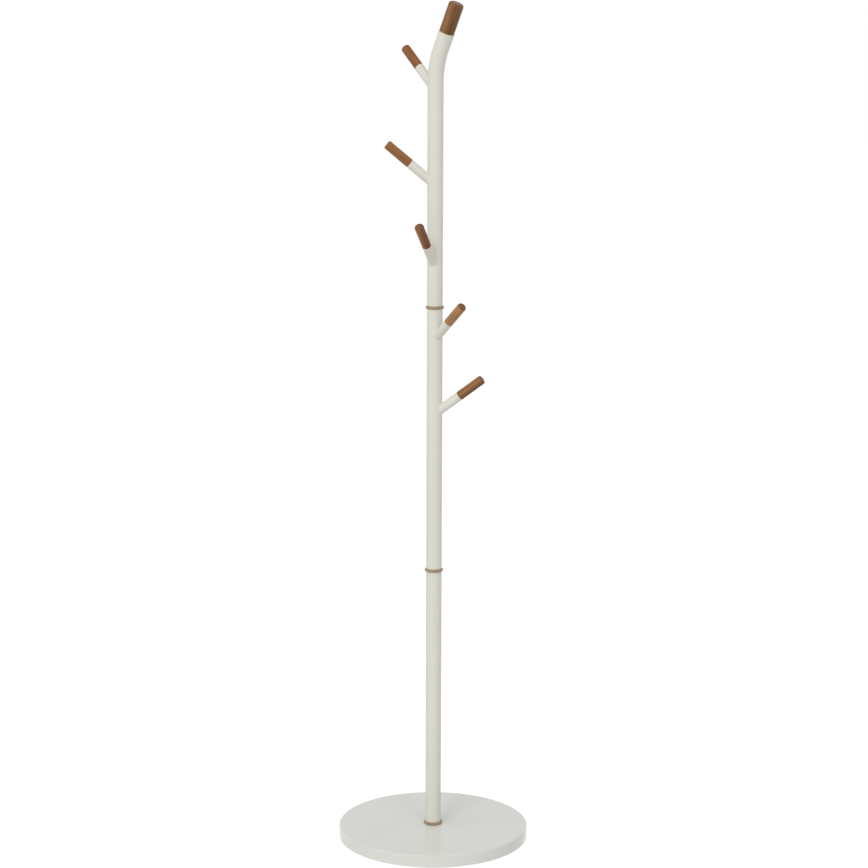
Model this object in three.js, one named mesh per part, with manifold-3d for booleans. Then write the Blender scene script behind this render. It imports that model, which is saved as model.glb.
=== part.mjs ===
// Standing coat rack. A round board base carries a post of three steel tubes, screwed end to end
// with a timber collar at each joint. Five short branches are welded round the upper half of the
// post and end in walnut, and the bent top of the post ends in a walnut cap.
// Millimetres, +Z up. The origin is on the floor under the middle of the base.
import * as THREE from "three";
import { mergeVertices } from "three/addons/utils/BufferGeometryUtils.js";
import Module from "manifold-3d";

const wasm = await Module();
wasm.setup();

// ---- Driving dimensions ----

// How far a coped or tenoned piece stays off the piece it meets.
const JOINT_GAP = 0.3;

// Felt pads under the base.
const PAD_COUNT = 6;
const PAD_RADIUS = 12.5;
const PAD_THICKNESS = 2;
const PAD_CIRCLE_RADIUS = 165;

// Base board, with a recess underneath for the bolt that holds the post.
const BASE_RADIUS = 196;
const BASE_THICKNESS = 25;
const BASE_TOP_ROUND = 2;
const BASE_BOTTOM_CHAMFER = 1;
const RECESS_RADIUS = 20;
const RECESS_DEPTH = 10;

// M10 bolt, washer and joint studs.
const THREAD_RADIUS = 4.8;
const CLEARANCE_HOLE_RADIUS = 5.5;
const THREAD_CHAMFER = 1;
const WASHER_RADIUS = 15;
const WASHER_THICKNESS = 2.5;
const BOLT_HEAD_ACROSS_FLATS = 16;
const BOLT_HEAD_HEIGHT = 6.4;
const BOLT_LENGTH = 45;
const STUD_LENGTH = 55;

// Post tubes, the collars between them and the threaded inserts in their ends.
const POST_RADIUS = 16;
const POST_WALL = 1.2;
const POST_SECTION_LENGTH = 537;
const COLLAR_RADIUS = 19;
const COLLAR_THICKNESS = 5.5;
const INSERT_RADIUS = 14.5;
const INSERT_BORE_RADIUS = 5;
const INSERT_LENGTH = 30;

// The top of the post: straight up to the bend, one circular bend, and a short straight end.
const BEND_START_Z = 1562;
const BEND_RADIUS = 170;
const BEND_ANGLE = THREE.MathUtils.degToRad(23.9);
const BEND_AZIMUTH = THREE.MathUtils.degToRad(-39);
const BEND_END_STRAIGHT = 32;

// Walnut cap on the end of the bent top.
const CAP_RADIUS = 15.5;
const CAP_LENGTH = 62.5;
const CAP_ROUND = 5.5;
const CAP_SPIGOT_RADIUS = 14.4;
const CAP_SPIGOT_LENGTH = 28;

// Branches: a steel tube welded to the post, and a walnut end with a tenon in the tube.
const BRANCH_RADIUS = 9.5;
const BRANCH_WALL = 1;
const BRANCH_TUBE_END = 67;
const TIP_END = 127;
const TIP_ROUND = 3.5;
const TENON_RADIUS = 8.2;
const TENON_LENGTH = 25;

// Each branch leaves the post's axis at height z, tilted from upright, towards an azimuth
// counted from +X towards +Y.
const BRANCHES = [
  { z: 1548, tilt: 50.6, azimuth: 128.5 },
  { z: 1360, tilt: 50, azimuth: 187 },
  { z: 1197, tilt: 46.2, azimuth: -110.5 },
  { z: 1050, tilt: 52.8, azimuth: -57.7 },
  { z: 896.5, tilt: 52.8, azimuth: -17.8 },
];

// Facets round each kind of circle.
const BASE_SIDES = 72;
const POST_SIDES = 32;
const BRANCH_SIDES = 24;
const SMALL_SIDES = 20;
const BEND_STEPS = 10;
const ROUND_STEPS = 4;

// ---- Heights that follow ----

const BASE_BOTTOM_Z = PAD_THICKNESS;
const BASE_TOP_Z = BASE_BOTTOM_Z + BASE_THICKNESS;
const RECESS_TOP_Z = BASE_BOTTOM_Z + RECESS_DEPTH;
const SECTION_PITCH = POST_SECTION_LENGTH + COLLAR_THICKNESS;
const LOWER_TUBE_Z = BASE_TOP_Z + COLLAR_THICKNESS;
const MIDDLE_TUBE_Z = LOWER_TUBE_Z + SECTION_PITCH;
const UPPER_TUBE_Z = MIDDLE_TUBE_Z + SECTION_PITCH;
const POST_BORE_RADIUS = POST_RADIUS - POST_WALL;

// ---- Finishes ----

const FINISHES = {
  baseLacquer: { color: 0xd5d6d0, roughness: 0.25, metalness: 0 },
  postPaint: { color: 0xd8d6ca, roughness: 0.45, metalness: 0 },
  walnut: { color: 0x96623e, roughness: 0.45, metalness: 0 },
  collarWood: { color: 0x96825f, roughness: 0.55, metalness: 0 },
  zincSteel: { color: 0xb8bbbf, roughness: 0.35, metalness: 1 },
  felt: { color: 0x8b867c, roughness: 0.95, metalness: 0 },
};

// ---- Geometry helpers ----

const point = (radius, z) => new THREE.Vector2(radius, z);

// Points along a quarter or half round of a turned profile, both ends included.
function roundPoints(centreRadius, centreZ, round, fromDegrees, toDegrees, steps) {
  const points = [];
  for (let i = 0; i <= steps; i += 1) {
    const angle = THREE.MathUtils.degToRad(fromDegrees + ((toDegrees - fromDegrees) * i) / steps);
    points.push(point(centreRadius + round * Math.cos(angle), centreZ + round * Math.sin(angle)));
  }
  return points;
}

// A solid turned about +Z from a profile of (radius, height) points.
function turned(profile, sides) {
  return new THREE.LatheGeometry(profile, sides).rotateX(Math.PI / 2);
}

// A plain ring or tube between two heights.
function turnedTube(innerRadius, outerRadius, bottom, top, sides) {
  const profile = [
    point(innerRadius, bottom),
    point(outerRadius, bottom),
    point(outerRadius, top),
    point(innerRadius, top),
    point(innerRadius, bottom),
  ];
  return turned(profile, sides);
}

// A bar with chamfered ends.
function threadedBar(bottom, top) {
  const profile = [
    point(0, bottom),
    point(THREAD_RADIUS - THREAD_CHAMFER, bottom),
    point(THREAD_RADIUS, bottom + THREAD_CHAMFER),
    point(THREAD_RADIUS, top - THREAD_CHAMFER),
    point(THREAD_RADIUS - THREAD_CHAMFER, top),
    point(0, top),
  ];
  return turned(profile, SMALL_SIDES);
}

// The post's centre line above startZ. Its parameter passes the stations evenly, so a sweep gets
// one ring at each end of a straight run and BEND_STEPS slices in the bend.
class PostCentreline extends THREE.Curve {
  constructor(startZ) {
    super();
    const bendStart = BEND_START_Z - startZ;
    const bendLength = BEND_RADIUS * BEND_ANGLE;
    this.startZ = startZ;
    this.bendStart = bendStart;
    this.stations = [0];
    for (let i = 0; i <= BEND_STEPS; i += 1) {
      this.stations.push(bendStart + (bendLength * i) / BEND_STEPS);
    }
    this.stations.push(bendStart + bendLength + BEND_END_STRAIGHT);
    this.steps = this.stations.length - 1;
  }

  // Distance travelled along the line at parameter t.
  distance(t) {
    const place = THREE.MathUtils.clamp(t, 0, 1) * this.steps;
    const station = Math.min(Math.floor(place), this.steps - 1);
    const here = this.stations[station];
    return here + (place - station) * (this.stations[station + 1] - here);
  }

  // How far the line has turned from upright at a distance along it.
  turn(distance) {
    return THREE.MathUtils.clamp((distance - this.bendStart) / BEND_RADIUS, 0, BEND_ANGLE);
  }

  getPoint(t, target = new THREE.Vector3()) {
    const distance = this.distance(t);
    const turn = this.turn(distance);
    const before = Math.min(distance, this.bendStart);
    const after = Math.max(distance - this.bendStart - BEND_RADIUS * BEND_ANGLE, 0);
    const sideways = BEND_RADIUS * (1 - Math.cos(turn)) + after * Math.sin(turn);
    const up = before + BEND_RADIUS * Math.sin(turn) + after * Math.cos(turn);
    return target.set(
      sideways * Math.cos(BEND_AZIMUTH),
      sideways * Math.sin(BEND_AZIMUTH),
      this.startZ + up,
    );
  }

  getTangent(t, target = new THREE.Vector3()) {
    const turn = this.turn(this.distance(t));
    return target.set(
      Math.sin(turn) * Math.cos(BEND_AZIMUTH),
      Math.sin(turn) * Math.sin(BEND_AZIMUTH),
      Math.cos(turn),
    );
  }

  getUtoTmapping(u) {
    return u;
  }
}

// A round rod, or a tube if boreRadius is given, swept along a centre line.
function swept(radius, boreRadius, line) {
  const section = new THREE.Shape().absarc(0, 0, radius, 0, 2 * Math.PI, false);
  if (boreRadius > 0) {
    section.holes.push(new THREE.Path().absarc(0, 0, boreRadius, 0, 2 * Math.PI, true));
  }
  return new THREE.ExtrudeGeometry(section, {
    steps: line.steps,
    extrudePath: line,
    curveSegments: POST_SIDES / 2,
  });
}

// A closed geometry as a manifold-3d solid, and a solid back as a geometry.
function solidOf(geometry) {
  const bare = geometry.clone();
  bare.deleteAttribute("normal");
  bare.deleteAttribute("uv");
  const merged = mergeVertices(bare, 1e-3);
  return new wasm.Manifold(
    new wasm.Mesh({
      numProp: 3,
      vertProperties: merged.attributes.position.array,
      triVerts: new Uint32Array(merged.index.array),
    }),
  );
}

function geometryOf(solid) {
  const mesh = solid.getMesh();
  const geometry = new THREE.BufferGeometry();
  geometry.setAttribute("position", new THREE.BufferAttribute(mesh.vertProperties, mesh.numProp));
  geometry.setIndex(new THREE.BufferAttribute(mesh.triVerts, 1));
  geometry.computeVertexNormals();
  return geometry;
}

// A named piece in one of the finishes.
function piece(name, finish, geometry, parent) {
  const mesh = new THREE.Mesh(geometry, new THREE.MeshStandardMaterial(FINISHES[finish]));
  mesh.name = name;
  parent.add(mesh);
  return mesh;
}

// ---- Base ----

function addBase(rack) {
  const profile = [
    point(CLEARANCE_HOLE_RADIUS, RECESS_TOP_Z),
    point(RECESS_RADIUS, RECESS_TOP_Z),
    point(RECESS_RADIUS, BASE_BOTTOM_Z),
    point(BASE_RADIUS - BASE_BOTTOM_CHAMFER, BASE_BOTTOM_Z),
    point(BASE_RADIUS, BASE_BOTTOM_Z + BASE_BOTTOM_CHAMFER),
    ...roundPoints(
      BASE_RADIUS - BASE_TOP_ROUND,
      BASE_TOP_Z - BASE_TOP_ROUND,
      BASE_TOP_ROUND,
      0,
      90,
      ROUND_STEPS,
    ),
    point(CLEARANCE_HOLE_RADIUS, BASE_TOP_Z),
    point(CLEARANCE_HOLE_RADIUS, RECESS_TOP_Z),
  ];
  piece("base_disc", "baseLacquer", turned(profile, BASE_SIDES), rack);

  for (let i = 0; i < PAD_COUNT; i += 1) {
    const angle = (2 * Math.PI * i) / PAD_COUNT;
    const pad = new THREE.CylinderGeometry(PAD_RADIUS, PAD_RADIUS, PAD_THICKNESS, SMALL_SIDES);
    const mesh = piece(`felt_pad_${i + 1}`, "felt", pad.rotateX(Math.PI / 2), rack);
    mesh.position.set(
      PAD_CIRCLE_RADIUS * Math.cos(angle),
      PAD_CIRCLE_RADIUS * Math.sin(angle),
      PAD_THICKNESS / 2,
    );
  }
}

// The bolt comes up through the board and the base collar into the lower tube's insert.
function addBaseBolt(rack) {
  const headTop = RECESS_TOP_Z - WASHER_THICKNESS;
  const washer = turnedTube(
    CLEARANCE_HOLE_RADIUS,
    WASHER_RADIUS,
    headTop,
    RECESS_TOP_Z,
    SMALL_SIDES,
  );
  piece("base_washer", "zincSteel", washer, rack);

  const headRadius = BOLT_HEAD_ACROSS_FLATS / 2 / Math.cos(Math.PI / 6);
  const head = new THREE.CylinderGeometry(headRadius, headRadius, BOLT_HEAD_HEIGHT, 6)
    .rotateX(Math.PI / 2)
    .translate(0, 0, headTop - BOLT_HEAD_HEIGHT / 2);
  const shank = threadedBar(headTop - BOLT_HEAD_HEIGHT / 2, headTop + BOLT_LENGTH);
  piece("base_bolt", "zincSteel", geometryOf(solidOf(head).add(solidOf(shank))), rack);
}

// ---- Post ----

// A collar whose rim is a full half round.
function addCollar(name, bottom, rack) {
  const half = COLLAR_THICKNESS / 2;
  const profile = [
    point(CLEARANCE_HOLE_RADIUS, bottom),
    ...roundPoints(COLLAR_RADIUS - half, bottom + half, half, -90, 90, 2 * ROUND_STEPS),
    point(CLEARANCE_HOLE_RADIUS, bottom + COLLAR_THICKNESS),
    point(CLEARANCE_HOLE_RADIUS, bottom),
  ];
  piece(name, "collarWood", turned(profile, POST_SIDES), rack);
}

function addInsert(name, bottom, rack) {
  const top = bottom + INSERT_LENGTH;
  const insert = turnedTube(INSERT_BORE_RADIUS, INSERT_RADIUS, bottom, top, POST_SIDES);
  piece(name, "zincSteel", insert, rack);
}

function addStraightTube(name, bottom, rack) {
  const top = bottom + POST_SECTION_LENGTH;
  const tube = turnedTube(POST_BORE_RADIUS, POST_RADIUS, bottom, top, POST_SIDES);
  piece(`${name}_tube`, "postPaint", tube, rack);
  addInsert(`${name}_tube_bottom_insert`, bottom, rack);
  addInsert(`${name}_tube_top_insert`, top - INSERT_LENGTH, rack);
}

function addJoint(name, collarBottom, rack) {
  const middle = collarBottom + COLLAR_THICKNESS / 2;
  addCollar(`${name}_joint_collar`, collarBottom, rack);
  const stud = threadedBar(middle - STUD_LENGTH / 2, middle + STUD_LENGTH / 2);
  piece(`${name}_joint_stud`, "zincSteel", stud, rack);
}

function addPost(rack) {
  addCollar("base_collar", BASE_TOP_Z, rack);
  addStraightTube("lower", LOWER_TUBE_Z, rack);
  addJoint("lower", MIDDLE_TUBE_Z - COLLAR_THICKNESS, rack);
  addStraightTube("middle", MIDDLE_TUBE_Z, rack);
  addJoint("upper", UPPER_TUBE_Z - COLLAR_THICKNESS, rack);

  const line = new PostCentreline(UPPER_TUBE_Z);
  piece("upper_tube", "postPaint", swept(POST_RADIUS, POST_BORE_RADIUS, line), rack);
  addInsert("upper_tube_bottom_insert", UPPER_TUBE_Z, rack);
  addTopCap(line, rack);
}

// A turned walnut piece that stands on a tube's end at z = 0, with a spigot down inside the tube.
function turnedEnd(radius, length, round, spigotRadius, spigotLength, sides) {
  const profile = [
    point(0, -spigotLength),
    point(spigotRadius, -spigotLength),
    point(spigotRadius, JOINT_GAP),
    point(radius, JOINT_GAP),
    ...roundPoints(radius - round, length - round, round, 0, 90, ROUND_STEPS),
    point(0, length),
  ];
  return turned(profile, sides);
}

function addTopCap(line, rack) {
  const holder = new THREE.Group();
  holder.position.copy(line.getPoint(1));
  holder.rotation.set(0, BEND_ANGLE, BEND_AZIMUTH, "ZYX");
  rack.add(holder);
  const cap = turnedEnd(
    CAP_RADIUS,
    CAP_LENGTH,
    CAP_ROUND,
    CAP_SPIGOT_RADIUS,
    CAP_SPIGOT_LENGTH,
    POST_SIDES,
  );
  piece("top_wood_cap", "walnut", cap, holder);
}

// ---- Branches ----

// Each branch is made along +Z in its own turned group. Its tube is coped to the post.
function addBranches(rack) {
  const postBelow = new PostCentreline(MIDDLE_TUBE_Z);
  const keepClear = swept(POST_RADIUS + JOINT_GAP, 0, postBelow);

  BRANCHES.forEach(({ z, tilt, azimuth }, i) => {
    const holder = new THREE.Group();
    holder.position.set(0, 0, z);
    holder.rotation.set(
      0,
      THREE.MathUtils.degToRad(tilt),
      THREE.MathUtils.degToRad(azimuth),
      "ZYX",
    );
    holder.updateMatrix();
    rack.add(holder);

    const bore = BRANCH_RADIUS - BRANCH_WALL;
    const tube = turnedTube(bore, BRANCH_RADIUS, 0, BRANCH_TUBE_END, BRANCH_SIDES);
    const post = keepClear.clone().applyMatrix4(holder.matrix.clone().invert());
    const coped = geometryOf(solidOf(tube).subtract(solidOf(post)));
    piece(`branch_tube_${i + 1}`, "postPaint", coped, holder);

    const tip = turnedEnd(
      BRANCH_RADIUS,
      TIP_END - BRANCH_TUBE_END,
      TIP_ROUND,
      TENON_RADIUS,
      TENON_LENGTH,
      BRANCH_SIDES,
    );
    piece(`wood_tip_${i + 1}`, "walnut", tip, holder).position.z = BRANCH_TUBE_END;
  });
}

// ---- Assembly ----

const rack = new THREE.Group();
addBase(rack);
addBaseBolt(rack);
addPost(rack);
addBranches(rack);

export default rack;
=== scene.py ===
"""Looks of a standing coat rack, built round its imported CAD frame. Metres, +Z up.

Every CAD node is replaced by a finely rounded mesh of the same size, with a procedural material.
"""

import math

import bmesh
import bpy
import numpy as np
from mathutils import Matrix, Vector


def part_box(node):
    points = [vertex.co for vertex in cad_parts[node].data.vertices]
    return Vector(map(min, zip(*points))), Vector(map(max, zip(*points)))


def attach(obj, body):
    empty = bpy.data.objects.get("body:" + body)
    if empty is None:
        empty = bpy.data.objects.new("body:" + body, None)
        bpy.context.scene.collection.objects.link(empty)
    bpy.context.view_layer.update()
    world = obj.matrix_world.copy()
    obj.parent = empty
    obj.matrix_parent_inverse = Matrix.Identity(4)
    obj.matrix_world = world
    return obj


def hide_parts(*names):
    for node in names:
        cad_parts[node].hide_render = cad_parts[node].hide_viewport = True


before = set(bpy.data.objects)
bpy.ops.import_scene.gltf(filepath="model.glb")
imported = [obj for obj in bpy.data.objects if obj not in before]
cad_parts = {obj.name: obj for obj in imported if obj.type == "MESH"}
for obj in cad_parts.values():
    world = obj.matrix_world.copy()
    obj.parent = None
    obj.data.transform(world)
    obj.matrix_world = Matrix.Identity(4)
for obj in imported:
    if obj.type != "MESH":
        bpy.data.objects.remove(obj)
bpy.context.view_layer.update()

MM = 0.001
UP = np.array([0.0, 0.0, 1.0])
TINY = 1e-7

# How many facets go round each kind of circle, and into each rounded corner.
BASE_SIDES = 320
POST_SIDES = 128
BRANCH_SIDES = 96
SMALL_SIDES = 72
CORNER_STEPS = 7

# How far beyond each rounded corner its supporting point lies, in radii of the corner.
SUPPORT_SHARE = 0.25


# ---- Camera, at the photograph's viewing angle ----

CAMERA_DISTANCE = 4.699
CAMERA_HEIGHT = 1.715
CAMERA_SIDEWAYS = -0.0007
CAMERA_PITCH = math.radians(10.369)
CAMERA_ROLL = math.radians(0.2)
CAMERA_LENS_MM = 97.46
SENSOR_WIDTH_MM = 36
CAMERA_FAR_END = 200


def make_camera():
    data = bpy.data.cameras.new("camera")
    data.lens = CAMERA_LENS_MM
    data.sensor_width = SENSOR_WIDTH_MM
    data.clip_end = CAMERA_FAR_END
    camera = bpy.data.objects.new("camera", data)
    bpy.context.scene.collection.objects.link(camera)
    place = Matrix.Translation((CAMERA_SIDEWAYS, -CAMERA_DISTANCE, CAMERA_HEIGHT))
    look = Matrix.Rotation(math.pi / 2 - CAMERA_PITCH, 4, "X")
    camera.matrix_world = place @ look @ Matrix.Rotation(CAMERA_ROLL, 4, "Z")
    bpy.context.scene.camera = camera


# ---- Material helpers ----

# The colour sockets of a Mix node have no names of their own.
MIX_AMOUNT, MIX_FIRST, MIX_SECOND = 0, 6, 7
MIX_RESULT = 2


class Finish:
    """A procedural material: its node tree, its Principled shader and its piece's coordinates."""

    def __init__(self, name, place=None, **sockets):
        self.material = bpy.data.materials.new(name)
        self.material.use_nodes = True
        self.tree = self.material.node_tree
        self.shader = self.tree.nodes["Principled BSDF"]
        for socket, value in sockets.items():
            self.shader.inputs[socket.replace("_", " ")].default_value = value
        self.own = self.add("TexCoord").outputs["Object"]
        if place is not None:
            self.own = self.add("Mapping", {"vector_type": "TEXTURE"}, {
                "Vector": self.own, "Location": place.translation, "Rotation": place.to_euler(),
            }).outputs["Vector"]

    def feed(self, socket, value):
        if isinstance(value, bpy.types.NodeSocket):
            self.tree.links.new(value, socket)
        else:
            socket.default_value = value

    def add(self, kind, settings=None, inputs=None):
        node = self.tree.nodes.new("ShaderNode" + kind)
        for name, value in (settings or {}).items():
            setattr(node, name, value)
        for name, value in (inputs or {}).items():
            self.feed(node.inputs[name], value)
        return node

    def coordinates(self, scale=(1, 1, 1), offset=(0, 0, 0), turn=(0, 0, 0), warp=None):
        """The piece's own coordinates in metres, stretched, shifted and turned."""
        vector = self.own
        if warp is not None:
            vector = self.add("VectorMath", {"operation": "ADD"}, {0: vector, 1: warp}).outputs[0]
        inputs = {"Vector": vector, "Location": offset, "Rotation": turn, "Scale": scale}
        return self.add("Mapping", None, inputs).outputs["Vector"]

    def noise(self, vector, scale, detail=2.0, roughness=0.5):
        inputs = {"Vector": vector, "Scale": scale, "Detail": detail, "Roughness": roughness}
        return self.add("TexNoise", None, inputs).outputs[0]

    def ramp(self, value, stops):
        """A colour ramp from (place, colour) stops."""
        node = self.add("ValToRGB", None, {"Fac": value})
        elements = node.color_ramp.elements
        while len(elements) < len(stops):
            elements.new(0.5)
        for element, (place, colour) in zip(elements, stops):
            element.position = place
            element.color = (*colour, 1)
        return node.outputs["Color"]

    def spread(self, value, low, high, start=0.0, end=1.0):
        """value from start..end mapped to low..high, and held there outside it."""
        inputs = {"Value": value, "From Min": start, "From Max": end, "To Min": low, "To Max": high}
        return self.add("MapRange", None, inputs).outputs["Result"]

    def mix(self, amount, first, second, blend="MIX"):
        node = self.add("Mix", {"data_type": "RGBA", "blend_type": blend})
        for index, value in ((MIX_AMOUNT, amount), (MIX_FIRST, first), (MIX_SECOND, second)):
            if not isinstance(value, (bpy.types.NodeSocket, float, int)):
                value = (*value, 1)
            self.feed(node.inputs[index], value)
        return node.outputs[MIX_RESULT]

    def mottled(self, value, low, high):
        """Two colours in soft patches that follow a noise."""
        return self.mix(self.spread(value, 0, 1, 0.35, 0.65), low, high)

    def multiply(self, first, second):
        return self.add("Math", {"operation": "MULTIPLY"}, {0: first, 1: second}).outputs[0]

    def total(self, first, second):
        return self.add("Math", {"operation": "ADD"}, {0: first, 1: second}).outputs[0]

    def bump(self, height, distance, strength=1.0, under=None):
        inputs = {"Height": height, "Distance": distance, "Strength": strength}
        if under is not None:
            inputs["Normal"] = under
        return self.add("Bump", None, inputs).outputs["Normal"]

    def attribute(self, name):
        return self.add("Attribute", {"attribute_name": name}).outputs["Fac"]

    def use(self, **sockets):
        for socket, value in sockets.items():
            self.feed(self.shader.inputs[socket.replace("_", " ")], value)
        return self.material


# ---- Materials ----

POWDER = {
    "low": (0.740, 0.725, 0.639),
    "high": (0.761, 0.745, 0.661),
    "speck": (0.5, 0.48, 0.41),
    "rubbed": (0.52, 0.49, 0.42),
}
LACQUER = {
    "low": (0.737, 0.747, 0.696),
    "high": (0.747, 0.757, 0.708),
    "speck": (0.58, 0.58, 0.55),
    "rubbed": (0.72, 0.71, 0.65),
}
WALNUT = {
    "pale": (0.490, 0.280, 0.128),
    "light": (0.375, 0.197, 0.080),
    "middle": (0.240, 0.115, 0.043),
    "dark": (0.107, 0.047, 0.015),
    "pore": (0.045, 0.018, 0.008),
    "end": (0.270, 0.145, 0.085),
    "end_dark": (0.110, 0.052, 0.028),
}
BEECH = {
    "pale": (0.45, 0.368, 0.262),
    "light": (0.45, 0.368, 0.262),
    "middle": (0.396, 0.314, 0.216),
    "dark": (0.315, 0.240, 0.160),
    "pore": (0.165, 0.118, 0.078),
    "end": (0.36, 0.28, 0.19),
    "end_dark": (0.315, 0.240, 0.160),
}
ZINC = {"bluish": (0.56, 0.58, 0.62), "yellowish": (0.66, 0.64, 0.57)}
FELT = {"dark": (0.17, 0.155, 0.13), "light": (0.36, 0.33, 0.29)}


def powder_coat(name):
    """Warm off-white powder coat: fine orange peel, faint shade changes, rubbed ends."""
    finish = Finish(name, IOR=1.5, Specular_IOR_Level=0.3)
    place = finish.coordinates()
    colour = finish.mottled(finish.noise(place, 9, 4), POWDER["low"], POWDER["high"])
    specks = finish.noise(place, 1400, 1)
    colour = finish.mix(finish.spread(specks, 0, 0.3, 0.7, 0.8), colour, POWDER["speck"])
    rubbed = finish.spread(finish.noise(place, 900, 3), 0, 0.35, 0.5, 0.7)
    rubbed = finish.multiply(rubbed, finish.attribute("rim"))
    colour = finish.mix(rubbed, colour, POWDER["rubbed"])
    peel = finish.bump(finish.noise(place, 650, 2), 0.00004, 0.22)
    grain = finish.bump(finish.noise(place, 2600, 1), 0.00002, 0.2, peel)
    roughness = finish.spread(finish.noise(place, 35, 3), 0.38, 0.48)
    return finish.use(Base_Color=colour, Roughness=roughness, Normal=grain)


def base_lacquer(name):
    """Sprayed off-white lacquer on board: smooth and glossy, with slight waviness and a faintly
    worn rim."""
    finish = Finish(name, IOR=1.5, Specular_IOR_Level=0.5)
    place = finish.coordinates()
    colour = finish.mottled(finish.noise(place, 7, 4), LACQUER["low"], LACQUER["high"])
    specks = finish.noise(place, 900, 2)
    colour = finish.mix(finish.spread(specks, 0, 0.25, 0.68, 0.8), colour, LACQUER["speck"])
    rubbed = finish.spread(finish.noise(place, 260, 3), 0, 0.5, 0.54, 0.66)
    rubbed = finish.multiply(rubbed, finish.attribute("rim"))
    colour = finish.mix(rubbed, colour, LACQUER["rubbed"])
    roughness = finish.spread(finish.noise(place, 11, 2), 0.13, 0.21, 0.3, 0.7)
    waves = finish.bump(finish.noise(place, 40, 1), 0.00003, 0.06)
    normal = finish.bump(finish.noise(place, 550, 1), 0.000008, 0.1, waves)
    return finish.use(Base_Color=colour, Roughness=roughness, Normal=normal)


# The pith of a piece lies this far from its axis, and each seed takes a piece this far along.
PITH_OFFSET = (0.045, 0.02)
SEED_STEP = 0.37

# The broad figure bends the rings by up to this much, in metres.
RING_WARP = (0.012, 0.012, 0)

# Where the tones of a wood stand on its ramp, and how much of the ramp one unit of tone takes.
TONE_PLACES = [(0.085, "dark"), (0.35, "middle"), (0.645, "light"), (1.0, "pale")]
TONE_SCALE = 0.7

# The tint of the warmest wood.
RED_BROWN = (1.06, 0.85, 0.80)


class Grain:
    """The patterns that run through a piece of wood, stretched along the piece's turned Z."""

    def __init__(self, finish, seed, turn):
        self.finish = finish
        self.shift = (*PITH_OFFSET, SEED_STEP * seed)
        self.turn = turn
        self.figure = self.noise(0.12, 75, 4, 0.55)
        warp = finish.add("VectorMath", {"operation": "MULTIPLY"}, {0: self.figure, 1: RING_WARP})
        self.rings = finish.add("TexWave", {"wave_type": "RINGS", "rings_direction": "Z"}, {
            "Vector": self.stretched(0.06, warp.outputs[0]),
            "Scale": 75, "Distortion": 1.5, "Detail": 2, "Detail Scale": 30,
        }).outputs["Fac"]
        self.streaks = self.noise(0.04, 420, 3, 0.6)
        self.fibres = self.noise(0.025, 1500, 3, 0.6)
        self.pores = finish.spread(self.noise(0.05, 3000, 1), 0, 1, 0.66, 0.74)

    def stretched(self, length, warp=None):
        return self.finish.coordinates((1, 1, length), self.shift, self.turn, warp)

    def noise(self, length, scale, detail, roughness=0.5):
        return self.finish.noise(self.stretched(length), scale, detail, roughness)


def side_grain(finish, grain, tones, warmth, lightness, pale):
    """The colour along the grain: broad figure, streaks, rings, fibres and open pores, with one
    side painted lighter, partly paler wood and partly painted light.
    """
    broad = finish.spread(grain.figure, 0, 0.5, 0.36, 0.64)
    narrow = finish.spread(grain.streaks, 0, 0.38, 0.3, 0.7)
    tone = finish.total(finish.total(broad, narrow), finish.multiply(grain.rings, 0.14))
    # The lit side is painted paler: partly real paler wood, partly painted light and painted
    # highlight.
    painted_lit_tone = finish.add("VectorMath", {"operation": "DOT_PRODUCT"}, {0: finish.own, 1: pale})
    tone = finish.total(finish.total(tone, painted_lit_tone.outputs["Value"]), lightness)
    stops = [(place, tones[shade]) for place, shade in TONE_PLACES]
    colour = finish.ramp(finish.multiply(tone, TONE_SCALE), stops)
    red = finish.mix(1.0, colour, RED_BROWN, "MULTIPLY")
    colour = finish.mix(warmth, colour, red)
    colour = finish.mix(finish.spread(grain.fibres, 0, 0.35, 0.5, 0.75), colour, tones["dark"])
    return finish.mix(finish.multiply(grain.pores, 0.6), colour, tones["pore"])


def end_grain(finish, grain, tones, end_shade):
    """The colour across the grain: speckled, with darker rings and open pores."""
    speckle = finish.multiply(finish.total(grain.figure, grain.fibres), 0.5)
    colour = finish.mix(finish.spread(speckle, 0, 1, 0.4, 0.6), tones["end_dark"], tones["end"])
    colour = finish.mix(finish.spread(grain.rings, 0, 0.8, 0.55, 1), colour, tones["end_dark"])
    colour = finish.mix(finish.multiply(grain.pores, 0.5), colour, tones["pore"])
    return finish.mix(end_shade, colour, tones["end_dark"])


def facing_along(finish, along):
    """0 where the surface runs beside the direction, rising to 0.7 where it faces along it."""
    normal = finish.add("TexCoord").outputs["Normal"]
    facing = finish.add("VectorMath", {"operation": "DOT_PRODUCT"}, {0: normal, 1: along})
    across = finish.add("Math", {"operation": "ABSOLUTE"}, {0: facing.outputs["Value"]})
    return finish.spread(across.outputs[0], 0, 0.7, 0.6, 0.97)


def timber(name, tones, seed, place=None, turn=(0, 0, 0), warmth=0.5, lightness=0.0,
           pale=(0, 0, 0), end_shade=0.0):
    """Satin-varnished wood with its grain along the piece's Z, and darker end grain. The seed
    shifts the pattern, warmth goes from olive brown at 0 to red brown at 1, lightness lifts the
    whole tone, and pale points to the side that is painted lighter, partly paler wood and partly
    painted light and painted highlight where the lamps fall, its length being how many tones per
    metre. The end grain is evenly dark at an end_shade of 1."""
    finish = Finish(name, place, IOR=1.5, Specular_IOR_Level=0.14)
    grain = Grain(finish, seed, turn)
    along = Vector((0, 0, 1)) if place is None else place.col[2].to_3d()
    side = side_grain(finish, grain, tones, warmth, lightness, pale)
    end = end_grain(finish, grain, tones, end_shade)
    colour = finish.mix(facing_along(finish, along), side, end)
    ridges = finish.bump(grain.fibres, 0.00008, 0.22)
    normal = finish.bump(grain.pores, -0.00010, 0.35, ridges)
    roughness = finish.spread(grain.fibres, 0.13, 0.19, 0.35, 0.7)
    return finish.use(Base_Color=colour, Roughness=roughness, Normal=normal)


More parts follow.
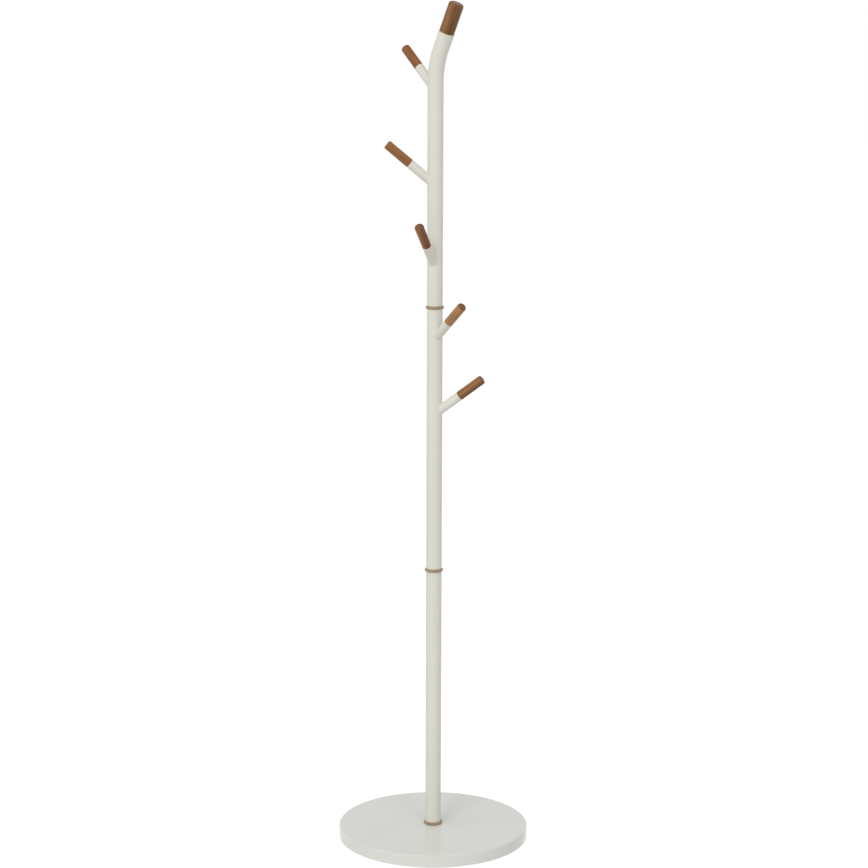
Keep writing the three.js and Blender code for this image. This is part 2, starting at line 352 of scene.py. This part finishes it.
def zinc_plate(name):
    """Zinc-plated steel: bright, faintly blue and yellow by turns, with turning marks."""
    finish = Finish(name, Metallic=1.0)
    place = finish.coordinates()
    colour = finish.mottled(finish.noise(place, 180, 3), ZINC["bluish"], ZINC["yellowish"])
    marks = finish.noise(finish.coordinates((1, 1, 25)), 60, 3)
    normal = finish.bump(marks, 0.00004, 0.3)
    roughness = finish.spread(finish.noise(place, 350, 3), 0.25, 0.45)
    return finish.use(Base_Color=colour, Roughness=roughness, Normal=normal)


def felt_fibres(name):
    """Pressed wool felt: matted fibres in mixed greys."""
    finish = Finish(name, Roughness=0.95, Sheen_Weight=0.35, Sheen_Roughness=0.6)
    place = finish.coordinates()
    fibres = finish.noise(place, 900, 5, 0.7)
    colour = finish.mottled(fibres, FELT["dark"], FELT["light"])
    normal = finish.bump(fibres, 0.0004, 0.7)
    return finish.use(Base_Color=colour, Normal=normal)


def studio_floor(name):
    """White sweep that stays near white, with the faintest mottle."""
    finish = Finish(name, Roughness=0.9, Specular_IOR_Level=0.1)
    tone = finish.noise(finish.coordinates(), 3, 2)
    colour = finish.mix(tone, (0.24, 0.24, 0.24), (0.26, 0.26, 0.26))
    return finish.use(Base_Color=colour, Emission_Color=(1, 1, 1, 1), Emission_Strength=0.87)


# ---- Mesh helpers ----


def rounded(corners, closed, longest=None):
    """Profile points from (radius, height, round) corners. Each round becomes an arc with a
    supporting point on either side, and stretches over `longest` are divided."""
    spots = [np.array(c[:2], float) for c in corners]
    points = []
    for i, (spot, corner) in enumerate(zip(spots, corners)):
        loose_end = not closed and i in (0, len(corners) - 1)
        if loose_end or corner[2] == 0:
            points.append(spot)
        else:
            points += rounded_corner(spots[i - 1], spot, spots[(i + 1) % len(spots)], corner[2])
    if longest:
        points = divided(points, closed, longest)
    return points


def rounded_corner(previous, spot, following, radius):
    """The arc that rounds the corner at `spot`, between its two supporting points."""
    before = previous - spot
    after = following - spot
    before /= np.linalg.norm(before)
    after /= np.linalg.norm(after)
    half = math.acos(np.clip(before @ after, -1, 1)) / 2
    reach = radius / math.tan(half)
    middle = spot + (before + after) / np.linalg.norm(before + after) * radius / math.sin(half)
    start = spot + before * reach - middle
    end = spot + after * reach - middle
    sweep = math.pi - 2 * half
    points = [spot + before * (reach + SUPPORT_SHARE * radius)]
    for step in range(CORNER_STEPS + 1):
        share = step / CORNER_STEPS
        blend = math.sin((1 - share) * sweep) * start + math.sin(share * sweep) * end
        points.append(middle + blend / math.sin(sweep))
    points.append(spot + after * (reach + SUPPORT_SHARE * radius))
    return points


def divided(points, closed, longest):
    """The same line with every stretch over `longest` cut into equal parts."""
    made = []
    ends = points[1:] + points[:1] if closed else points[1:]
    for start, end in zip(points, ends):
        parts = max(1, math.ceil(np.linalg.norm(end - start) / longest))
        made += [start + (end - start) * k / parts for k in range(parts)]
    if not closed:
        made.append(points[-1])
    return made


def turned(profile, sides, shape=None):
    """Points and faces turned about Z. A profile starts and ends on the axis, or is a loop.
    shape(radius, height, angles) gives the radius at each angle, where it isn't the same all
    the way round."""
    angles = np.arange(sides) * 2 * math.pi / sides
    points, rings = [], []
    for radius, height in profile:
        if radius < TINY:
            rings.append([len(points)])
            points.append((0.0, 0.0, height))
            continue
        radii = np.full(sides, radius) if shape is None else shape(radius, height, angles)
        rings.append(list(range(len(points), len(points) + sides)))
        points += list(zip(radii * np.cos(angles), radii * np.sin(angles), [height] * sides))
    return np.array(points), joined(rings, profile[0][0] > TINY)


def joined(rings, closed):
    """Faces between neighbouring rings of corner numbers. A ring of one is a pole."""
    faces = []
    following = rings[1:] + rings[:1] if closed else rings[1:]
    for low, high in zip(rings, following):
        for k in range(max(len(low), len(high))):
            a, b = low[k % len(low)], low[(k + 1) % len(low)]
            c, d = high[(k + 1) % len(high)], high[k % len(high)]
            if len(low) == 1:
                faces.append((a, c, d))
            elif len(high) == 1:
                faces.append((a, b, c))
            else:
                faces.append((a, b, c, d))
    return faces


def make_piece(node, material, points, faces, place=None, rim=None, crease=35):
    """A smooth mesh that stands for a CAD node and rides with it."""
    name = "fine_" + node
    mesh = bpy.data.meshes.new(name)
    mesh.from_pydata([tuple(p) for p in points], [], faces)
    work = bmesh.new()
    work.from_mesh(mesh)
    bmesh.ops.recalc_face_normals(work, faces=work.faces)
    work.to_mesh(mesh)
    work.free()
    mesh.polygons.foreach_set("use_smooth", [True] * len(mesh.polygons))
    mesh.set_sharp_from_angle(angle=math.radians(crease))
    if rim is not None:
        layer = mesh.attributes.new("rim", "FLOAT", "POINT")
        layer.data.foreach_set("value", np.asarray(rim, np.float32))
    mesh.materials.append(material)
    piece = bpy.data.objects.new(name, mesh)
    bpy.context.scene.collection.objects.link(piece)
    if place is not None:
        piece.matrix_world = place
    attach(piece, "root")
    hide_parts(node)
    return piece


def near(values, *places, reach):
    """1 at any of the places, falling to 0 at `reach` away from them."""
    away = np.min([np.abs(values - p) for p in places], axis=0)
    return np.clip(1 - away / reach, 0, 1)


# ---- Places taken from the frame ----


def node_points(node):
    """A CAD node's different corner points."""
    points = [v.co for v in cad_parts[node].data.vertices]
    return np.unique(np.round(np.array(points, float), 5), axis=0)


class TurnedNode:
    """The axis of a turned wooden end, and where its shoulder, end and radius are along it."""

    def __init__(self, node):
        points = node_points(node)
        middle = points.mean(0)
        along = np.linalg.eigh(np.cov((points - middle).T))[1][:, -1]
        self.along = along * np.sign(along[2])
        places = (points - middle) @ self.along
        radii = np.linalg.norm(points - middle - np.outer(places, self.along), axis=1)
        self.radius = radii.max()
        self.middle = middle
        self.bottom = places.min()
        self.top = places.max()
        self.shoulder = places[radii > 0.99 * self.radius].min()
        self.spigot_radius = radii[places < self.bottom + MM].max()

    def matrix(self, start):
        """A placement whose Z is the axis, with its origin `start` from the middle."""
        turn = Vector(self.along).to_track_quat("Z", "Y").to_matrix().to_4x4()
        return Matrix.Translation(Vector(self.middle + start * self.along)) @ turn


def radius_of(node):
    low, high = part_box(node)
    return (high.x - low.x) / 2


POST_RADIUS = radius_of("lower_tube")
POST_WALL = 1.2 * MM
BRANCH_WALL = 1.0 * MM
BEND_RADIUS = 170 * MM
BRANCH_COUNT = 5

# Wooden ends stand this far off the ends of their tubes.
SHOULDER_GAP = 0.05 * MM

# The M10 bolt and studs, and the holes that they go through and into.
BOLT_RADIUS = 4.8 * MM
INSERT_BORE_RADIUS = 5 * MM
BOLT_HOLE_RADIUS = 5.5 * MM


class BentPost:
    """The centre line of the post: upright to the bend, an arc, and straight to the cap."""

    def __init__(self):
        cap = TurnedNode("top_wood_cap")
        self.turn = math.acos(cap.along[2])
        self.azimuth = math.atan2(cap.along[1], cap.along[0])
        self.side = np.array([math.cos(self.azimuth), math.sin(self.azimuth), 0.0])
        sideways = (cap.middle @ self.side) / math.tan(self.turn)
        corner_height = cap.middle[2] - sideways
        self.bend_start = corner_height - BEND_RADIUS * math.tan(self.turn / 2)
        self.bend_end = self.bend_start + BEND_RADIUS * self.turn
        end = cap.middle + (cap.shoulder - SHOULDER_GAP) * cap.along
        self.length = self.bend_end + np.linalg.norm(end - self.at(self.bend_end)[0])

    def at(self, distance):
        """Point and direction where a straight tube's height `distance` lands on the line."""
        angle = min(max(distance - self.bend_start, 0) / BEND_RADIUS, self.turn)
        along = self.side * math.sin(angle) + UP * math.cos(angle)
        point = UP * min(distance, self.bend_start)
        point = point + BEND_RADIUS * ((1 - math.cos(angle)) * self.side + math.sin(angle) * UP)
        return point + max(distance - self.bend_end, 0) * along, along

    def carry(self, points):
        """Points of an upright tube moved to the bent one."""
        moved = np.array(points, float)
        across = np.cross(UP, self.side)
        for i, (x, y, height) in enumerate(points):
            centre, along = self.at(height)
            lean = np.cross(across, along)
            offset = np.array([x, y, 0.0])
            moved[i] = centre + (offset @ self.side) * lean + (offset @ across) * across
        return moved

    def nearest(self, point):
        """The nearest point of the centre line below the straight end."""
        sideways = point @ self.side
        rise = point[2] - self.bend_start
        if rise <= 0:
            return UP * point[2]
        angle = math.atan2(rise, BEND_RADIUS - sideways)
        return self.at(self.bend_start + BEND_RADIUS * angle)[0]


post = BentPost()


# ---- Base ----

RECESS_RADIUS = 20 * MM
BASE_RIM_REACH = 3 * MM
PAD_SEED = 4

# A pad's edge wanders by this share of its radius, in waves of these numbers round it.
PAD_RAGGED_SHARE = 0.004
PAD_WAVES = (5, 9, 17, 31)


def make_base(lacquer):
    """The round board, with the recess for the bolt underneath."""
    low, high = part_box("base_disc")
    radius = high.x
    recess_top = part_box("base_washer")[1].z
    corners = [
        (BOLT_HOLE_RADIUS, recess_top, 0.3 * MM),
        (RECESS_RADIUS, recess_top, 0.5 * MM),
        (RECESS_RADIUS, low.z, 0.8 * MM),
        (radius, low.z, 1.2 * MM),
        (radius, high.z, 2.0 * MM),
        (BOLT_HOLE_RADIUS, high.z, 0.3 * MM),
    ]
    points, faces = turned(rounded(corners, True, 25 * MM), BASE_SIDES)
    distance = np.hypot(points[:, 0], points[:, 1])
    rim = near(distance, radius, reach=BASE_RIM_REACH)
    rim = rim * near(points[:, 2], high.z, low.z, reach=BASE_RIM_REACH)
    make_piece("base_disc", lacquer, points, faces, rim=rim)


def make_felt_pads(felt):
    random = np.random.default_rng(PAD_SEED)
    for node in sorted(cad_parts):
        if node.startswith("felt_pad"):
            make_felt_pad(node, felt, random)


def make_felt_pad(node, felt, random):
    """A pressed felt disc with a soft, slightly ragged edge."""
    low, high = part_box(node)
    middle = (low + high) / 2
    radius = (high.x - low.x) / 2
    thickness = high.z - low.z
    count = len(PAD_WAVES)
    phases = random.uniform(0, 2 * math.pi, count)

    def ragged(r, height, angles):
        wave = sum(np.sin(n * angles + phase) for n, phase in zip(PAD_WAVES, phases))
        return r * (1 - PAD_RAGGED_SHARE * (count + wave) / (2 * count) * (r / radius) ** 8)

    corners = [
        (0, 0, 0),
        (radius, 0, 0.45 * thickness),
        (radius, thickness, 0.3 * thickness),
        (0, thickness, 0),
    ]
    points, faces = turned(rounded(corners, False, 2.5 * MM), SMALL_SIDES, ragged)
    place = Matrix.Translation((middle.x, middle.y, low.z))
    make_piece(node, felt, points, faces, place)


def make_washer(zinc):
    low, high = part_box("base_washer")
    corners = [
        (BOLT_HOLE_RADIUS, low.z, 0.3 * MM),
        (high.x, low.z, 0.5 * MM),
        (high.x, high.z, 0.3 * MM),
        (BOLT_HOLE_RADIUS, high.z, 0.3 * MM),
    ]
    points, faces = turned(rounded(corners, True, 4 * MM), SMALL_SIDES)
    make_piece("base_washer", zinc, points, faces)


# ---- Bolt, studs and inserts ----

THREAD_PITCH = 1.5 * MM
THREAD_DEPTH = 0.8 * MM
THREAD_SAMPLES = 8
THREAD_STEP = THREAD_PITCH / THREAD_SAMPLES
PLAIN_SHANK = 3 * MM

# The bolt head is chamfered underneath, from a circle that is this share of its width.
HEAD_CIRCLE_SHARE = 0.96
HEAD_CHAMFER = math.radians(60)


def thread_shape(low, high):
    """A cut thread between two heights, running out at both ends."""

    def radius_at(r, height, angles):
        fade = np.clip(min(height - low, high - height) / THREAD_PITCH, 0, 1)
        phase = (height / THREAD_PITCH - angles / (2 * math.pi)) % 1
        groove = np.clip(1.15 - 2.6 * np.abs(phase - 0.5), 0, 1)
        return r - THREAD_DEPTH * fade * groove

    return radius_at


def make_stud(node, zinc):
    low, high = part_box(node)
    radius = radius_of(node)
    corners = [(0, low.z, 0), (radius, low.z, 0.8 * MM), (radius, high.z, 0.8 * MM), (0, high.z, 0)]
    profile = rounded(corners, False, THREAD_STEP)
    points, faces = turned(profile, SMALL_SIDES, thread_shape(low.z, high.z))
    make_piece(node, zinc, points, faces, crease=50)


def make_bolt(zinc):
    """A hexagon-headed bolt whose head is chamfered to a circle underneath."""
    low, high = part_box("base_bolt")
    flats = (high.x - low.x) / 2
    corner_radius = flats / math.cos(math.pi / 6)
    head_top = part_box("base_washer")[0].z
    thread = thread_shape(head_top + PLAIN_SHANK, high.z)

    def shape(r, height, angles):
        """The six flats of the head within their chamfer, and the shank above them."""
        on_top = height > head_top - TINY
        if on_top and r < BOLT_RADIUS + TINY:
            return thread(r, height, angles) if r > 0.9 * BOLT_RADIUS else np.full(len(angles), r)
        turn = (angles + math.pi / 6) % (math.pi / 3) - math.pi / 6
        cone = flats * HEAD_CIRCLE_SHARE + (height - low.z) * math.tan(HEAD_CHAMFER)
        outer = np.minimum(flats / np.cos(turn), cone)
        if on_top:
            share = (r - BOLT_RADIUS) / (corner_radius - BOLT_RADIUS)
            return BOLT_RADIUS + share * (outer - BOLT_RADIUS)
        return outer * r / corner_radius

    corners = [
        (0, low.z, 0),
        (corner_radius, low.z, 0.15 * MM),
        (corner_radius, head_top, 0.1 * MM),
        (BOLT_RADIUS, head_top, 0),
        (BOLT_RADIUS, high.z, 0.8 * MM),
        (0, high.z, 0),
    ]
    points, faces = turned(rounded(corners, False, THREAD_STEP), SMALL_SIDES, shape)
    make_piece("base_bolt", zinc, points, faces, crease=25)


def make_insert(node, zinc):
    """A round nut in the end of a tube."""
    low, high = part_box(node)
    outer = radius_of(node)
    corners = [
        (INSERT_BORE_RADIUS, low.z, 0.7 * MM),
        (outer, low.z, 0.5 * MM),
        (outer, high.z, 0.5 * MM),
        (INSERT_BORE_RADIUS, high.z, 0.7 * MM),
    ]
    points, faces = turned(rounded(corners, True, 6 * MM), SMALL_SIDES)
    make_piece(node, zinc, points, faces)


# ---- Post and wooden ends ----

RUBBED_REACH = 4 * MM

# The edge rounds of the collars, as a share of their thickness, and of the wooden ends.
COLLAR_ROUND_SHARE = 0.39
CAP_ROUND = 5.5 * MM
TIP_ROUND = 3.5 * MM

# Each wooden end's own character: red-brown warmth, lightness, the side painted lighter (partly
# paler wood, partly painted light and painted highlight where the lamps fall), and how dark its
# end grain is. The painted lighter side is this much lighter for each unit of its direction.
PAINTED_LIGHT_CONTRAST = 0.3
WOOD_CHARACTER = {
    "top_wood_cap": (0.2, -0.06, (-0.7, -0.2, 0.2), 0.0),
    "wood_tip_1": (1.0, 0.14, (0.6, 0, 0.3), 0.2),
    "wood_tip_2": (0.75, 0.27, (-0.2, 0, 0.2), 0.0),
    "wood_tip_3": (1.0, 0.22, (-2.4, 0, 0.4), 0.0),
    "wood_tip_4": (0.45, 0.42, (-0.1, -1.0, 0), 0.75),
    "wood_tip_5": (0.5, -0.04, (-0.3, 0, 0.9), 0.25),
}


def tube_profile(bottom, top, longest):
    """A tube's wall, with a ring of points where the rubbed paint at each end runs out."""
    bore = POST_RADIUS - POST_WALL
    corners = [
        (bore, bottom, 0.2 * MM),
        (POST_RADIUS, bottom, 0.45 * MM),
        (POST_RADIUS, bottom + RUBBED_REACH, 0),
        (POST_RADIUS, top - RUBBED_REACH, 0),
        (POST_RADIUS, top, 0.45 * MM),
        (bore, top, 0.2 * MM),
    ]
    return rounded(corners, True, longest)


def make_straight_tube(node, paint):
    low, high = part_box(node)
    points, faces = turned(tube_profile(low.z, high.z, 30 * MM), POST_SIDES)
    rim = near(points[:, 2], low.z, high.z, reach=RUBBED_REACH)
    make_piece(node, paint, points, faces, rim=rim)


def make_bent_tube(paint):
    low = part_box("upper_tube")[0]
    points, faces = turned(tube_profile(low.z, post.length, 3 * MM), POST_SIDES)
    rim = near(points[:, 2], low.z, post.length, reach=RUBBED_REACH)
    make_piece("upper_tube", paint, post.carry(points), faces, rim=rim)


def make_collar(node, wood):
    low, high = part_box(node)
    radius = radius_of(node)
    thickness = high.z - low.z
    round_edge = COLLAR_ROUND_SHARE * thickness
    corners = [
        (BOLT_HOLE_RADIUS, 0, 0.2 * MM),
        (radius, 0, round_edge),
        (radius, thickness, round_edge),
        (BOLT_HOLE_RADIUS, thickness, 0.2 * MM),
    ]
    points, faces = turned(rounded(corners, True, 3 * MM), POST_SIDES)
    place = Matrix.Translation((0, 0, low.z))
    make_piece(node, wood, points, faces, place)


def make_wooden_end(node, end_round, seed):
    """A turned walnut end with its tenon, standing on the end of a tube."""
    wood = TurnedNode(node)
    tenon = -(wood.shoulder - wood.bottom)
    length = wood.top - wood.shoulder + SHOULDER_GAP
    corners = [
        (0, tenon, 0),
        (wood.spigot_radius, tenon, 0.8 * MM),
        (wood.spigot_radius, SHOULDER_GAP, 0),
        (wood.radius, SHOULDER_GAP, 0.35 * MM),
        (wood.radius, length, end_round),
        (0, length, 0),
    ]
    points, faces = turned(rounded(corners, False, 2.5 * MM), BRANCH_SIDES)
    place = wood.matrix(wood.shoulder - SHOULDER_GAP)
    points = [place @ Vector(p) for p in points]
    warmth, lightness, painted_lit_side, end_shade = WOOD_CHARACTER[node]
    # pale is the side painted lighter: partly paler wood, partly painted light and painted
    # highlight where the lamps fall.
    pale = place.to_3x3().inverted() @ Vector(painted_lit_side)
    pale.z = 0
    pale *= PAINTED_LIGHT_CONTRAST / wood.radius
    walnut = timber("walnut_" + node, WALNUT, seed, place, warmth=warmth, lightness=lightness,
                    pale=pale, end_shade=end_shade)
    make_piece(node, walnut, points, faces)


# ---- Branches ----

# A weld bead's leg, how many legs its curve's control point stands off the corner, and how far
# its foot sinks into the post.
WELD_REACH = 1.8 * MM
WELD_BULGE = 0.26
WELD_SINK = 0.03 * MM
WELD_STEPS = 7
WELD_SEED = 7

# A weld's reach varies round the branch by these shares, in waves of these numbers.
WELD_RIPPLES = ((22, 0.06), (3, 0.07), (7, 0.05))

LIP_ROUND = 0.4 * MM
LIP_STEPS = 4
BRANCH_WALL_STEPS = 15
BRANCH_RUBBED_REACH = 3 * MM

# Longer than any branch, and enough halvings of it to find the post's surface exactly.
LONGEST_REACH = 90 * MM
HALVINGS = 40


def post_crossing(start, towards):
    """The point where a line from outside the post first meets its surface."""
    outside, inside = 0.0, LONGEST_REACH
    for _ in range(HALVINGS):
        middle = (outside + inside) / 2
        spot = start + middle * towards
        if np.linalg.norm(spot - post.nearest(spot)) > POST_RADIUS:
            outside = middle
        else:
            inside = middle
    return start + outside * towards


def weld_section(crossing, radial, along, reach):
    """A bead from the branch tube down to the post at one angle round the branch."""
    centre = post.nearest(crossing)
    outward = (crossing - centre) / np.linalg.norm(crossing - centre)
    seam = np.cross(radial, outward)
    away = np.cross(seam, outward)
    away *= np.sign(away @ radial) / np.linalg.norm(away)
    up_branch = crossing + reach * along
    on_post = crossing + reach * away
    centre = post.nearest(on_post)
    out_from_post = (on_post - centre) / np.linalg.norm(on_post - centre)
    on_post = centre + out_from_post * (POST_RADIUS - WELD_SINK)
    bulge = crossing + WELD_BULGE * reach * (outward + radial) / np.linalg.norm(outward + radial)
    shares = np.linspace(0, 1, WELD_STEPS + 1)[:, None]
    return (1 - shares) ** 2 * on_post + 2 * shares * (1 - shares) * bulge + shares ** 2 * up_branch


def branch_column(radial, tip, end, reach):
    """The points of a branch tube at one angle round it: up from the weld on the post to the
    rounded lip, and back down inside to the root."""
    outside = end + tip.radius * radial
    crossing = post_crossing(outside, -tip.along)
    bead = weld_section(crossing, radial, tip.along, reach)
    wall_top = outside - LIP_ROUND * tip.along
    shares = np.linspace(0, 1, BRANCH_WALL_STEPS + 1)[1:, None]
    wall = bead[-1] + shares * (wall_top - bead[-1])
    lip_turn = np.linspace(0, math.pi / 2, LIP_STEPS + 1)[1:, None]
    lip = end + (tip.radius - LIP_ROUND) * radial - LIP_ROUND * tip.along
    lip = lip + LIP_ROUND * (np.cos(lip_turn) * radial + np.sin(lip_turn) * tip.along)
    mouth = end + (tip.radius - BRANCH_WALL) * radial
    bottom = post_crossing(mouth, -tip.along)
    return np.vstack([bead, wall, lip, mouth, bottom])


def make_branch_tube(number, paint, random):
    """A tube from its wooden end down to the post, with its welded root under the paint."""
    tip = TurnedNode(f"wood_tip_{number}")
    end = tip.middle + (tip.shoulder - SHOULDER_GAP) * tip.along
    across = np.cross(UP, tip.along)
    across /= np.linalg.norm(across)
    beside = np.cross(tip.along, across)
    angles = np.arange(BRANCH_SIDES) * 2 * math.pi / BRANCH_SIDES
    radials = np.outer(np.cos(angles), across) + np.outer(np.sin(angles), beside)
    phases = random.uniform(0, 2 * math.pi, len(WELD_RIPPLES))
    ripple = sum(share * np.sin(waves * angles + phase)
                 for (waves, share), phase in zip(WELD_RIPPLES, phases))
    columns = [branch_column(radial, tip, end, WELD_REACH * (1 + extra))
               for radial, extra in zip(radials, ripple)]
    grid = np.transpose(np.array(columns), (1, 0, 2))
    rings = [list(range(k * BRANCH_SIDES, (k + 1) * BRANCH_SIDES)) for k in range(len(grid))]
    points = grid.reshape(-1, 3)
    rim = near((points - end) @ tip.along, 0, reach=BRANCH_RUBBED_REACH)
    faces = joined(rings, True)
    make_piece(f"branch_tube_{number}", paint, points, faces, rim=rim)


# ---- Studio ----

# The floor's rings grow by this factor outwards, and then it curves up into a wall.
FIRST_FLOOR_RING = 0.4
FLOOR_RING_GROWTH = 1.25
FLOOR_RINGS = 19
WALL_HEIGHT = 8
WALL_STEPS = 12

RACK_MIDDLE = 0.85
SOFTBOX_DISTANCE = 14
EVEN_LIGHT = 0.54

# Azimuth and elevation in degrees, side in metres and power in watts. Azimuth 0 is in front.
SOFTBOXES = {
    "front_left": (-26, 33, 5.2, 518),
    "front_right": (26, 33, 5.2, 218),
    "window_left": (-75, 30, 10.5, 224),
    "behind": (180, 20, 10.5, 67),
    "overhead": (0, 89, 10.5, 135),
    "floor_bounce": (0, -38, 10.5, 190),
}


def make_floor():
    """A wide round floor that curves up into a wall, so that no horizon shows. It stays out of
    the diffuse light and the shadows, so that the softbox below it stands for its bounce."""
    flat_rings = [FIRST_FLOOR_RING * FLOOR_RING_GROWTH ** k for k in range(FLOOR_RINGS)]
    profile = [(0, 0)] + [(radius, 0) for radius in flat_rings]
    for step in range(1, WALL_STEPS + 1):
        turn = step / WALL_STEPS * math.pi / 2
        radius = flat_rings[-1] + WALL_HEIGHT * math.sin(turn)
        profile.append((radius, WALL_HEIGHT * (1 - math.cos(turn))))
    points, faces = turned(profile, POST_SIDES)
    mesh = bpy.data.meshes.new("studio_floor")
    mesh.from_pydata([tuple(p) for p in points], [], faces)
    mesh.polygons.foreach_set("use_smooth", [True] * len(mesh.polygons))
    mesh.materials.append(studio_floor("studio_floor"))
    floor = bpy.data.objects.new("studio_floor", mesh)
    floor.visible_diffuse = False
    floor.visible_shadow = False
    bpy.context.scene.collection.objects.link(floor)


def add_softbox(name, azimuth, elevation, side, power):
    """A square light aimed at the middle of the rack, which the camera doesn't see."""
    turn, rise = math.radians(azimuth), math.radians(elevation)
    towards = Vector((
        math.sin(turn) * math.cos(rise),
        -math.cos(turn) * math.cos(rise),
        math.sin(rise),
    ))
    data = bpy.data.lights.new(name, "AREA")
    data.shape = "SQUARE"
    data.size = side
    data.energy = power
    light = bpy.data.objects.new(name, data)
    light.visible_camera = False
    bpy.context.scene.collection.objects.link(light)
    light.location = Vector((0, 0, RACK_MIDDLE)) + SOFTBOX_DISTANCE * towards
    light.rotation_euler = (-towards).to_track_quat("-Z", "Y").to_euler()


def light_studio():
    world = bpy.data.worlds.new("studio")
    world.use_nodes = True
    background = world.node_tree.nodes["Background"]
    background.inputs["Color"].default_value = (1, 1, 1, 1)
    background.inputs["Strength"].default_value = EVEN_LIGHT
    bpy.context.scene.world = world
    bpy.context.scene.view_settings.view_transform = "Standard"
    for name, settings in SOFTBOXES.items():
        add_softbox(name, *settings)


# ---- Assembly ----

# Seeds of the wood patterns: the cap has its own, and tips and collars count on from theirs.
CAP_SEED = 1
FIRST_TIP_SEED = 2
FIRST_COLLAR_SEED = 11


def make_fasteners(zinc):
    make_washer(zinc)
    make_bolt(zinc)
    make_stud("lower_joint_stud", zinc)
    make_stud("upper_joint_stud", zinc)
    for node in sorted(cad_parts):
        if node.endswith("_insert"):
            make_insert(node, zinc)


def make_collars():
    """The collars' grain lies flat, and each is turned a little further."""
    for k, node in enumerate(("base_collar", "lower_joint_collar", "upper_joint_collar")):
        grain_across = (math.pi / 2, 0, 0.4 * k)
        wood = timber("collar_wood_" + node, BEECH, FIRST_COLLAR_SEED + k, turn=grain_across)
        make_collar(node, wood)


def make_branches(paint):
    random = np.random.default_rng(WELD_SEED)
    for k in range(BRANCH_COUNT):
        make_branch_tube(k + 1, paint, random)
        make_wooden_end(f"wood_tip_{k + 1}", TIP_ROUND, FIRST_TIP_SEED + k)


def make_rack():
    paint = powder_coat("post_paint")
    make_base(base_lacquer("base_lacquer"))
    make_felt_pads(felt_fibres("felt"))
    make_fasteners(zinc_plate("zinc_steel"))
    make_collars()
    make_straight_tube("lower_tube", paint)
    make_straight_tube("middle_tube", paint)
    make_bent_tube(paint)
    make_wooden_end("top_wood_cap", CAP_ROUND, CAP_SEED)
    make_branches(paint)


make_camera()
make_rack()
make_floor()
light_studio()
